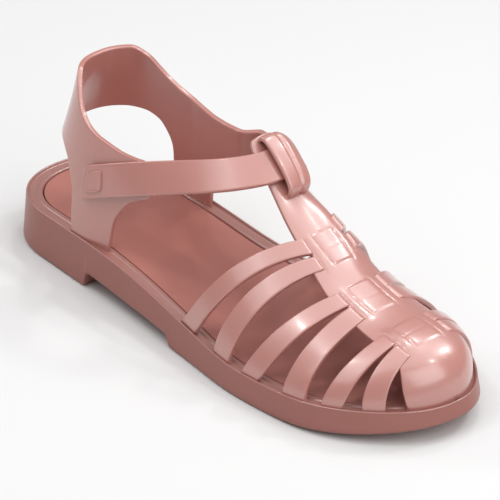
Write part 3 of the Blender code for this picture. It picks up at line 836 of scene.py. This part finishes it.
def blend_rows(before, after):
    """Rows between two grids: a cubic with both grids' points and directions at its ends."""
    t = np.linspace(0, 1, BLEND_STEPS + 2)[1:-1, None, None]
    start, end = before[-1], after[0]
    reach = np.linalg.norm(end - start, axis=-1, keepdims=True)
    leave = unit(before[-1] - before[-4]) * reach
    arrive = unit(after[3] - after[0]) * reach
    ease = t**2 * (3 - 2 * t)
    return (
        start * (1 - ease)
        + end * ease
        + leave * (t**3 - 2 * t**2 + t)
        + arrive * (t**3 - t**2)
    )


def badge_shape(sizes):
    """Bare raised square near the strap's end, on the strap's face.

    It is a grid whose sides draw in towards its corners as the root of 1 - pull * share^2.
    """
    wall, side, rise = sizes.wall / MM, sizes.badge_side / MM, sizes.badge_rise / MM
    line = np.linspace(-1, 1, BADGE_STEPS)
    u, v = np.meshgrid(line, line, indexing="ij")
    ahead = u * np.sqrt(1 - BADGE_PULL * v**2) * side / 2
    across = v * np.sqrt(1 - BADGE_PULL * u**2) * side / 2
    run = STRAP_KNOTS[-1] - BADGE_BACK + ahead / BADGE_KNOT_RUN
    field = np.maximum(np.abs(u), np.abs(v))
    sunk = BADGE_SUNK * (1 - ramp(field, *BADGE_FIELD))
    out = strap_frame(run, wall)[-1]
    face = strap_point(run, across, wall) + (rise - sunk)[..., None] * out
    return moulded_wall(face, out, rise + BADGE_ROOT, min(sizes.edge_round / MM, rise))


def heel_strap_shape(sizes):
    """Heel quarter and ankle strap as one wall that wraps the heel and the instep."""
    wall = sizes.wall / MM
    lateral = quarter_grid(medial=False)[::-1]
    medial = quarter_grid(medial=True)[1:]
    strap = strap_grid(wall, sizes.end_corner / MM)
    face = np.concatenate([lateral, medial, blend_rows(medial, strap), strap])
    normal = unit(np.cross(np.gradient(face, axis=1), np.gradient(face, axis=0)))
    return joined([moulded_wall(face, normal, wall, sizes.edge_round / MM), badge_shape(sizes)])


class Wire:
    """A shader socket. Arithmetic on it adds Math nodes, and node() adds any other node."""

    def __init__(self, tree, socket=None):
        self.tree = tree
        self.socket = socket

    def node(self, kind, settings, values, output=0):
        """A node of that kind with its settings, then its sockets' values or links."""
        node = self.tree.nodes.new(kind)
        for name, value in settings.items():
            setattr(node, name, value)
        for name, value in values.items():
            if isinstance(value, Wire):
                self.tree.links.new(value.socket, node.inputs[name])
            else:
                node.inputs[name].default_value = value
        return Wire(self.tree, node.outputs[output])

    def math(self, operation, first, second):
        """A Math node on two values or links."""
        return self.node("ShaderNodeMath", {"operation": operation}, {0: first, 1: second})

    def __add__(self, other):
        return self.math("ADD", self, other)

    def __radd__(self, other):
        return self.math("ADD", other, self)

    def __sub__(self, other):
        return self.math("SUBTRACT", self, other)

    def __rsub__(self, other):
        return self.math("SUBTRACT", other, self)

    def __mul__(self, other):
        return self.math("MULTIPLY", self, other)

    def __rmul__(self, other):
        return self.math("MULTIPLY", other, self)


# Plastic: scale and detail of its noises, spread of its roughness, its grain and its clear gloss.
CLOUD, SMEAR, SPECK, RIPPLE = (28.0, 3.0), (110.0, 2.0), (900.0, 2.0), (75.0, 1.0)
CLOUD_CONTRAST, CLOUD_SHIFT = 1.6, 0.3
GLOSS_SPREAD = 0.05
RIPPLE_HEIGHT, BUMP_STRENGTH, BUMP_DISTANCE = 2.0, 0.25, 0.00006
PLASTIC_IOR, COAT_IOR, COAT_ROUGHNESS = 1.5, 2.0, 0.32
SPECULAR_DULL, SPECULAR_GLOSSY = 0.1, 0.15

# How far a face looks up where the gloss of the top starts, and where it is full.
TOP_FROM, TOP_TO = 0.3, 0.8


def jelly_material(name, finish, painted_shade_scale, roughness, grain, shine, top_shine):
    """Glossy soft plastic: a slightly clouded pink, uneven gloss and the mould's faint grain.

    The clear gloss goes from shine on the walls to top_shine on faces that look up. Both pinks are
    multiplied by painted_shade_scale; below 1 it is painted shade, a whole piece darker than the lights
    make it.
    """
    # Painted shade: a scale below 1 darkens the pinks of the whole piece.
    deep = (*[painted_shade_scale * part for part in finish.pink_deep], 1.0)
    pale = (*[painted_shade_scale * part for part in finish.pink_pale], 1.0)
    material = bpy.data.materials.new(name)
    material.use_nodes = True
    tree = material.node_tree
    shader = tree.nodes["Principled BSDF"]
    start = Wire(tree)
    place_on = start.node("ShaderNodeTexCoord", {}, {}, "Object")

    def noise(scale, detail):
        sockets = {"Vector": place_on, "Scale": scale, "Detail": detail, "Roughness": 0.55}
        return start.node("ShaderNodeTexNoise", {}, sockets)

    cloud, smear, speck, ripple = noise(*CLOUD), noise(*SMEAR), noise(*SPECK), noise(*RIPPLE)
    share = cloud * CLOUD_CONTRAST - CLOUD_SHIFT
    pink = start.node("ShaderNodeMix", {"data_type": "RGBA"}, {0: share, 6: deep, 7: pale}, 2)
    tree.links.new(pink.socket, shader.inputs["Base Color"])
    gloss = roughness - GLOSS_SPREAD + 2 * GLOSS_SPREAD * smear
    tree.links.new(gloss.socket, shader.inputs["Roughness"])
    height = ripple * RIPPLE_HEIGHT + speck * grain
    relief = {"Strength": BUMP_STRENGTH, "Distance": BUMP_DISTANCE, "Height": height}
    bump = start.node("ShaderNodeBump", {}, relief)
    tree.links.new(bump.socket, shader.inputs["Normal"])
    shader.inputs["IOR"].default_value = PLASTIC_IOR
    shader.inputs["Specular IOR Level"].default_value = SPECULAR_DULL + SPECULAR_GLOSSY * shine
    if top_shine == shine:
        shader.inputs["Coat Weight"].default_value = finish.coat * shine
    else:
        facing = start.node("ShaderNodeTexCoord", {}, {}, "Normal")
        upward = start.node("ShaderNodeSeparateXYZ", {}, {"Vector": facing}, "Z")
        sockets = {
            "Value": upward,
            "From Min": TOP_FROM,
            "From Max": TOP_TO,
            "To Min": finish.coat * shine,
            "To Max": finish.coat * top_shine,
        }
        coat = start.node("ShaderNodeMapRange", {"clamp": True}, sockets)
        tree.links.new(coat.socket, shader.inputs["Coat Weight"])
    shader.inputs["Coat Roughness"].default_value = COAT_ROUGHNESS
    shader.inputs["Coat IOR"].default_value = COAT_IOR
    return material


class SoleSizes(PropertyGroup):
    """Sizes of the sole that a user would change."""

    tread_depth: FloatProperty(
        name="Tread depth", description="Depth of the tread's grooves", default=0.0008, unit="LENGTH"
    )


class WallSizes(PropertyGroup):
    """Sizes of the moulded walls that a user would change."""

    wall: FloatProperty(name="Wall", description="Thickness of the walls", default=0.0024, unit="LENGTH")
    edge_round: FloatProperty(
        name="Edge rounding", description="Radius of the walls' edges", default=0.0007, unit="LENGTH"
    )
    strap_proud: FloatProperty(
        name="Strap rise", description="Rise of the side straps", default=0.0008, unit="LENGTH"
    )
    weave_rise: FloatProperty(
        name="Weave rise", description="Rise of the weave's tiles", default=0.00032, unit="LENGTH"
    )
    seam_depth: FloatProperty(
        name="Seam depth", description="Depth of the seams in the weave", default=0.0002, unit="LENGTH"
    )
    bridge_groove: FloatProperty(
        name="Bridge groove", description="Depth of the groove on the bridge", default=0.0008, unit="LENGTH"
    )
    end_corner: FloatProperty(
        name="Strap corner", description="Radius of the strap end's corners", default=0.0022, unit="LENGTH"
    )
    badge_side: FloatProperty(
        name="Badge side", description="Side of the bare raised square", default=0.0094, unit="LENGTH"
    )
    badge_rise: FloatProperty(
        name="Badge rise", description="Rise of the bare raised square", default=0.0009, unit="LENGTH"
    )


class JellyFinish(PropertyGroup):
    """Colours and gloss of the soft plastic."""

    pink_deep: FloatVectorProperty(
        name="Deep pink",
        description="Colour in the denser clouds",
        default=(0.435, 0.172, 0.142),
        subtype="COLOR",
    )
    pink_pale: FloatVectorProperty(
        name="Pale pink",
        description="Colour in the paler clouds",
        default=(0.475, 0.192, 0.160),
        subtype="COLOR",
    )
    coat: FloatProperty(
        name="Coat", description="Weight of the clear gloss on top", default=1.0, subtype="FACTOR"
    )


class StageSettings(PropertyGroup):
    """Floor, lights and camera."""

    floor: FloatVectorProperty(
        name="Floor", description="Colour of the floor", default=(0.68, 0.68, 0.68), subtype="COLOR"
    )
    panel: FloatProperty(name="Panel", description="Power of the panel overhead", default=4.2, unit="POWER")
    back: FloatProperty(name="Back panel", description="Power, medial side", default=2.6, unit="POWER")
    side: FloatProperty(name="Side light", description="Power, lateral side", default=1.8, unit="POWER")
    key: FloatProperty(name="Key light", description="Power from the toe", default=7.0, unit="POWER")
    rim: FloatProperty(name="Rim light", description="Power from the heel", default=2.0, unit="POWER")
    spark: FloatProperty(name="Spark", description="Power of each small light", default=0.9, unit="POWER")
    sky: FloatProperty(name="Sky", description="Strength of the light all round", default=0.36)
    lens: FloatProperty(name="Lens", description="Focal length", default=286.0, unit="CAMERA")


class JellyShoe(PropertyGroup):
    """All settings of the shoe."""

    sole: PointerProperty(type=SoleSizes)
    walls: PointerProperty(type=WallSizes)
    finish: PointerProperty(type=JellyFinish)
    stage: PointerProperty(type=StageSettings)


class JELLY_OT_sole(Operator):
    """Build the sole unit with its rim, arch and tread"""

    bl_idname = "jelly_shoe.sole"
    bl_label = "Sole"

    def execute(self, context):
        shoe = context.scene.jelly_shoe
        # Colour scaled by 0.7: painted shade that darkens the sole's walls beyond what the lights give.
        jelly = jelly_material(
            "sole_plastic", shoe.finish, painted_shade_scale=0.7, roughness=0.36, grain=0.5, shine=0.15, top_shine=1.0
        )
        new_piece("sole_unit", sole_shape(shoe.sole), jelly, "outsole")
        return {"FINISHED"}


class JELLY_OT_footbed(Operator):
    """Build the footbed in the well of the sole"""

    bl_idname = "jelly_shoe.footbed"
    bl_label = "Footbed"

    def execute(self, context):
        shoe = context.scene.jelly_shoe
        # Colour scaled by 0.84: painted shade that darkens the footbed beyond what the lights give.
        jelly = jelly_material(
            "footbed_plastic", shoe.finish, painted_shade_scale=0.84, roughness=0.44, grain=1.0, shine=0.1, top_shine=0.1
        )
        new_piece("footbed", footbed_shape(), jelly, "insole")
        return {"FINISHED"}


class JELLY_OT_cage(Operator):
    """Build the woven cage with its T-bar, toe cap, straps and bridge"""

    bl_idname = "jelly_shoe.cage"
    bl_label = "Cage"

    def execute(self, context):
        shoe = context.scene.jelly_shoe
        jelly = jelly_material(
            "cage_plastic", shoe.finish, painted_shade_scale=1.0, roughness=0.14, grain=0.3, shine=1.0, top_shine=1.0
        )
        new_piece("cage_upper", upper_shape(shoe.walls), jelly, "upper")
        return {"FINISHED"}


class JELLY_OT_heel_strap(Operator):
    """Build the heel quarter and the ankle strap with its bare raised square"""

    bl_idname = "jelly_shoe.heel_strap"
    bl_label = "Heel and ankle strap"

    def execute(self, context):
        shoe = context.scene.jelly_shoe
        jelly = jelly_material(
            "strap_plastic", shoe.finish, painted_shade_scale=1.0, roughness=0.15, grain=0.35, shine=0.8, top_shine=0.8
        )
        shape = heel_strap_shape(shoe.walls)
        new_piece("heel_and_strap", shape, jelly, "heel_and_ankle_strap")
        return {"FINISHED"}


# Camera: aim and distance in millimetres, turns, tilt and pan in radians, and its sight in metres.
AIM, CAMERA_DISTANCE = (125.0, 0.0, 20.0), 1680.0
CAMERA_AZIMUTH, CAMERA_ELEVATION, CAMERA_ROLL = np.radians([46.0, 30.0, 1.41])
CAMERA_TILT, CAMERA_PAN = 0.0056818, 0.0004870
CLIP_END = 50.0

# Floor: half its side in metres, and its roughness.
FLOOR_REACH, FLOOR_ROUGHNESS = 6.0, 0.9

# Lights: name, setting and its multiple, then spot, aim and side in metres.
LIGHTS = (
    ("panel", "panel", 1, (-0.05, -0.10, 1.10), (0.0, 0.0, 0.0), 1.0),
    ("back", "back", 1, (0.03, 0.64, 1.0), (0.03, 0.0, 0.03), 0.65),
    ("side", "side", 1, (-0.05, -0.75, 0.92), (0.0, 0.0, 0.05), 0.6),
    ("key", "key", 1, (1.0, 0.0, 0.75), (0.03, 0.0, 0.03), 1.0),
    ("rim", "rim", 1, (-1.0, -0.35, 0.75), (-0.06, -0.02, 0.05), 0.3),
    ("spark_front", "spark", 1, (0.46, 0.36, 1.0), (0.05, 0.0, 0.05), 0.06),
    ("spark_side", "spark", 1, (-0.26, -0.36, 1.04), (0.06, -0.03, 0.03), 0.06),
    ("spark_bar", "spark", 2, (0.20, 0.80, 0.90), (0.02, 0.0, 0.05), 0.12),
    ("spark_back", "spark", 1, (-0.26, 0.50, 1.0), (0.06, 0.0, 0.04), 0.06),
)


def camera_matrix():
    """Place of the camera: back along its azimuth and elevation, rolled, then tilted to the shoe."""
    turn, lift = CAMERA_AZIMUTH, CAMERA_ELEVATION
    back = np.array([math.sin(turn) * math.cos(lift), -math.cos(turn) * math.cos(lift), math.sin(lift)])
    right = np.array([math.cos(turn), math.sin(turn), 0.0])
    up = np.cross(back, right)
    roll_right = math.cos(CAMERA_ROLL) * right + math.sin(CAMERA_ROLL) * up
    roll_up = math.cos(CAMERA_ROLL) * up - math.sin(CAMERA_ROLL) * right
    tilted = unit(back - CAMERA_PAN * roll_right - CAMERA_TILT * roll_up)
    side = unit(roll_right - (roll_right * tilted).sum() * tilted)
    matrix = np.eye(4)
    matrix[:3, :3] = np.stack([side, np.cross(tilted, side), tilted], -1)
    matrix[:3, 3] = place(np.array(AIM) + CAMERA_DISTANCE * back)
    return Matrix(matrix.tolist())


def area_light(name, spot, aim, size, power):
    """Square soft light at a spot, turned to the aim."""
    light = bpy.data.lights.new(name, "AREA")
    light.energy = power
    light.size = size
    lamp = bpy.data.objects.new(name, light)
    back = unit(np.array(spot) - np.array(aim))
    side = unit(np.cross((0.0, 0.0, 1.0), back) + (TINY, 0.0, 0.0))
    matrix = np.eye(4)
    matrix[:3, :3] = np.stack([side, np.cross(back, side), back], -1)
    matrix[:3, 3] = spot
    lamp.matrix_world = Matrix(matrix.tolist())
    bpy.context.scene.collection.objects.link(lamp)


def pale_floor(colour):
    """Wide flat floor of plain paper."""
    reach = FLOOR_REACH
    mesh = bpy.data.meshes.new("floor")
    corners = [(-reach, -reach, 0), (reach, -reach, 0), (reach, reach, 0), (-reach, reach, 0)]
    mesh.from_pydata(corners, [], [(0, 1, 2, 3)])
    paper = bpy.data.materials.new("floor_paper")
    paper.use_nodes = True
    shader = paper.node_tree.nodes["Principled BSDF"]
    shader.inputs["Base Color"].default_value = (*colour, 1.0)
    shader.inputs["Roughness"].default_value = FLOOR_ROUGHNESS
    mesh.materials.append(paper)
    floor = bpy.data.objects.new("floor", mesh)
    bpy.context.scene.collection.objects.link(floor)


def studio_sky(strength):
    """Even white light from all round."""
    world = bpy.data.worlds.new("studio")
    world.use_nodes = True
    sky = world.node_tree.nodes["Background"]
    sky.inputs["Color"].default_value = (1.0, 1.0, 1.0, 1.0)
    sky.inputs["Strength"].default_value = strength
    bpy.context.scene.world = world


def photo_camera(focal_length):
    """Camera at the photograph's angle."""
    scene = bpy.context.scene
    lens = bpy.data.cameras.new("camera")
    lens.lens = focal_length
    lens.clip_end = CLIP_END
    camera = bpy.data.objects.new("camera", lens)
    camera.matrix_world = camera_matrix()
    scene.collection.objects.link(camera)
    scene.camera = camera


class JELLY_OT_stage(Operator):
    """Set up the floor, the lights and the camera"""

    bl_idname = "jelly_shoe.stage"
    bl_label = "Stage"

    def execute(self, context):
        stage = context.scene.jelly_shoe.stage
        pale_floor(stage.floor)
        for name, setting, multiple, spot, aim, size in LIGHTS:
            area_light(name, spot, aim, size, multiple * getattr(stage, setting))
        studio_sky(stage.sky)
        photo_camera(stage.lens)
        context.scene.view_settings.view_transform = "Standard"
        return {"FINISHED"}


class JELLY_PT_shoe(Panel):
    """Sidebar panel that lists the pieces and their settings"""

    bl_label = "Jelly Shoe"
    bl_idname = "JELLY_PT_shoe"
    bl_space_type = "VIEW_3D"
    bl_region_type = "UI"
    bl_category = "Jelly Shoe"

    def draw(self, context):
        shoe = context.scene.jelly_shoe
        for group in (shoe.sole, shoe.walls, shoe.finish, shoe.stage):
            box = self.layout.box()
            for name in group.__annotations__:
                box.prop(group, name)
        for operator in OPERATORS:
            self.layout.operator(operator.bl_idname)


OPERATORS = (JELLY_OT_sole, JELLY_OT_footbed, JELLY_OT_cage, JELLY_OT_heel_strap, JELLY_OT_stage)
GROUPS = (SoleSizes, WallSizes, JellyFinish, StageSettings, JellyShoe)


def register():
    """Make the settings, operators and panel known."""
    for kind in (*GROUPS, *OPERATORS, JELLY_PT_shoe):
        bpy.utils.register_class(kind)
    bpy.types.Scene.jelly_shoe = PointerProperty(type=JellyShoe)


def unregister():
    """Take the settings, operators and panel back."""
    del bpy.types.Scene.jelly_shoe
    for kind in reversed((*GROUPS, *OPERATORS, JELLY_PT_shoe)):
        bpy.utils.unregister_class(kind)


def main():
    """Build every piece and the stage."""
    register()
    bpy.ops.jelly_shoe.sole()
    bpy.ops.jelly_shoe.footbed()
    bpy.ops.jelly_shoe.cage()
    bpy.ops.jelly_shoe.heel_strap()
    bpy.ops.jelly_shoe.stage()


if __name__ == "__main__":
    main()
